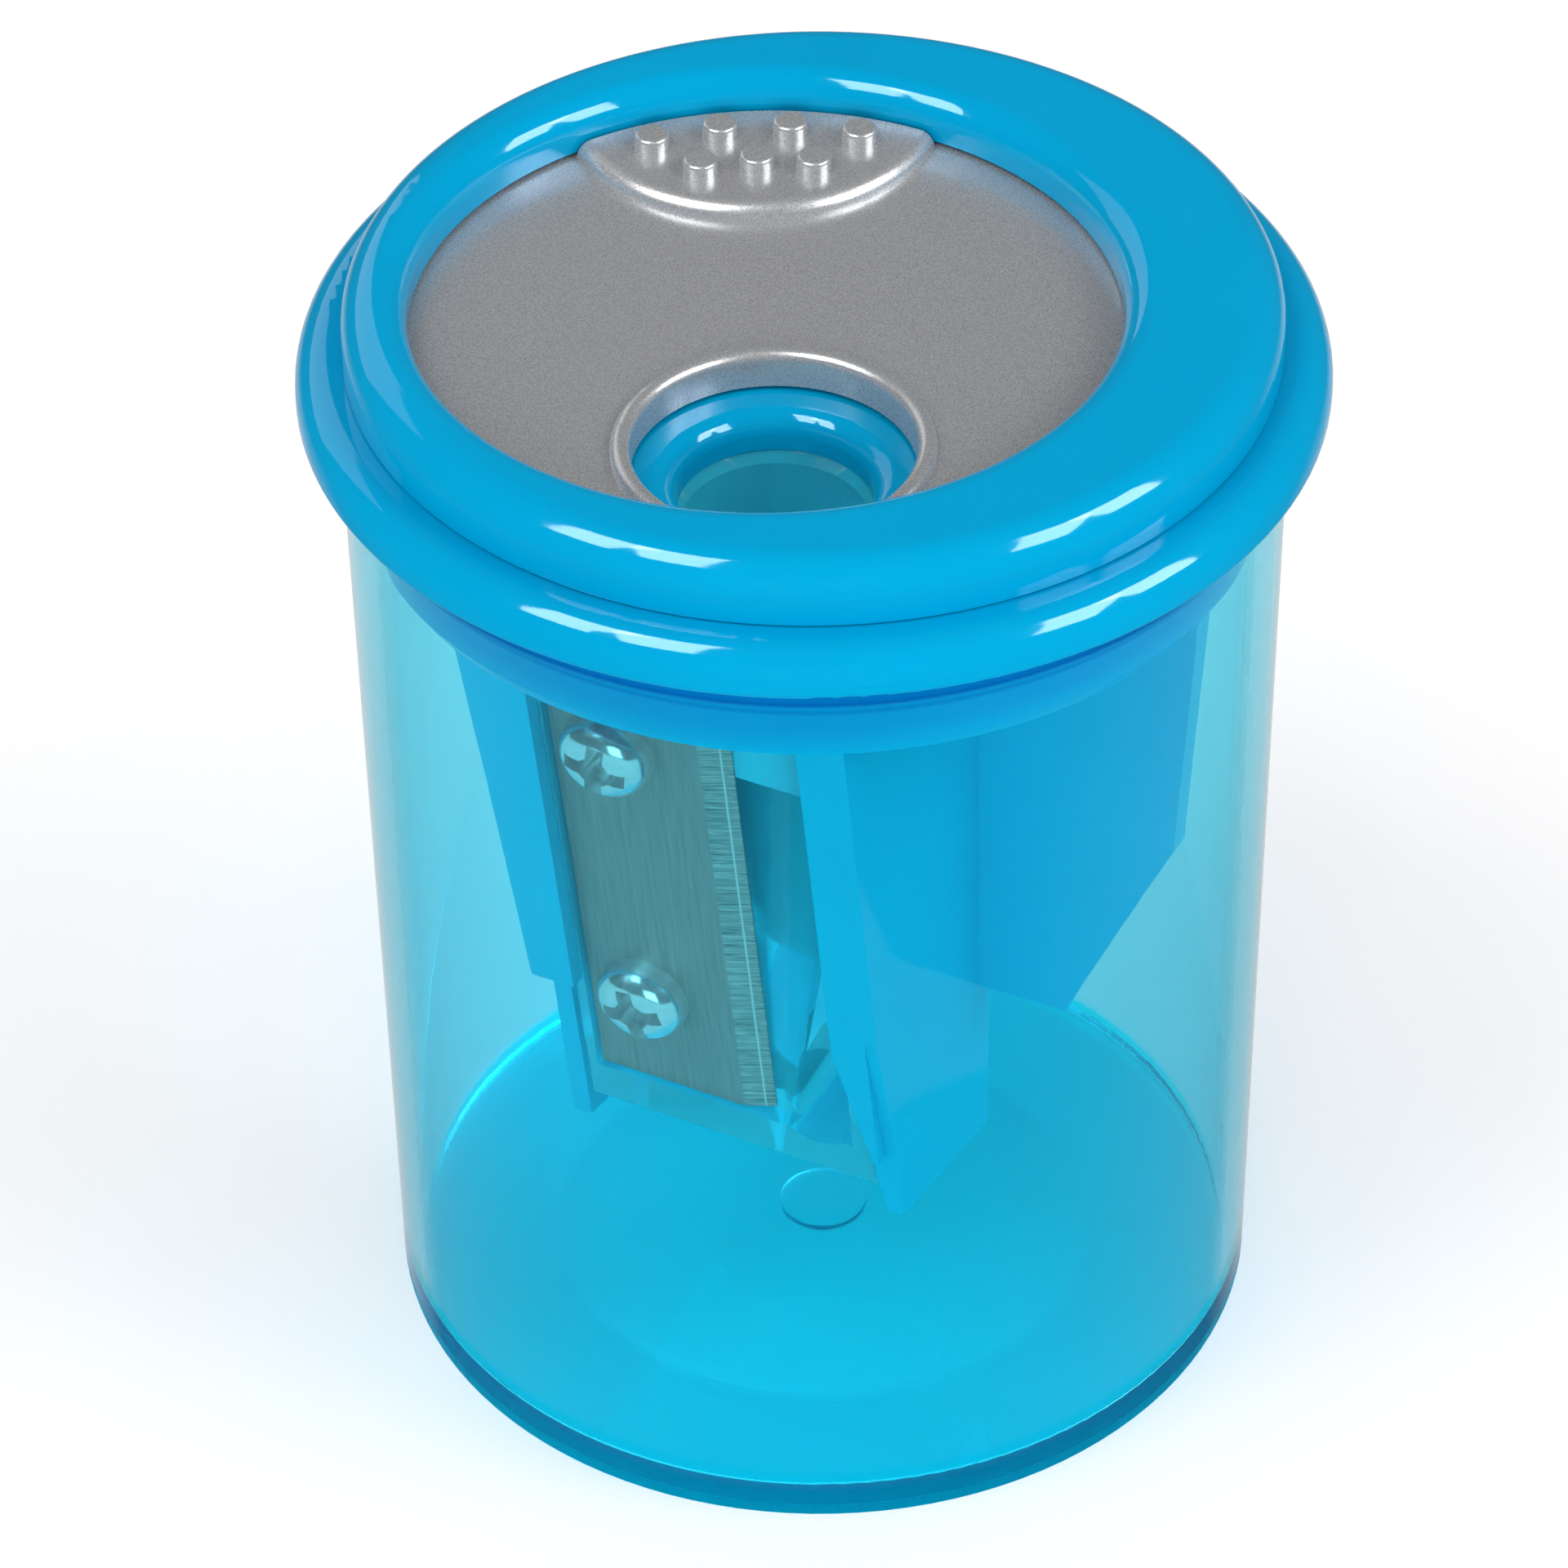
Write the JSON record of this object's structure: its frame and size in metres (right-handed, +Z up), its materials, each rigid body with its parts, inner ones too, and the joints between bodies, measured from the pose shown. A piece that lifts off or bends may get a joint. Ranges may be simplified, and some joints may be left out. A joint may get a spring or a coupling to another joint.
{
  "type": "pencil sharpener",
  "caption": "Hand-turned pencil sharpener: see-through round cup for shavings, plug-in lid with a hanging wedge sharpener and blade, and a turning disc over the pencil hole.",
  "frame": {"origin": "centre of the underside of the cup", "axes": "+Z up along the cup, -Y towards the pencil hole"},
  "size_m": [0.045, 0.045, 0.0549],
  "materials": {
    "clear_blue_plastic": "see-through tinted, glossy",
    "blue_plastic": "opaque, glossy",
    "silver_plastic": "silver metallic, satin",
    "clear_plastic": "clear, glossy",
    "blade_steel": "rolled, with a ground bevel",
    "screw_plating": "bright zinc plate"
  },
  "bodies": {
    "container": {"container": "clear_blue_plastic"},
    "lid": {"lid_base": "blue_plastic", "lid_ring": "blue_plastic", "sharpener_insert": "clear_plastic", "blade": "blade_steel", "blade_screws": "screw_plating"},
    "shutter": {"shutter_disc": "silver_plastic"}
  },
  "joints": [
    {"name": "lid_lift", "type": "slide", "parent": "container", "child": "lid", "axis": [0, 0, 1], "range_m": [0, 0.045]},
    {"name": "shutter_turn", "type": "hinge", "parent": "lid", "child": "shutter", "pos_m": [-0.00203, 0, 0.052], "axis": [0, 0, 1], "continuous": true}
  ]
}
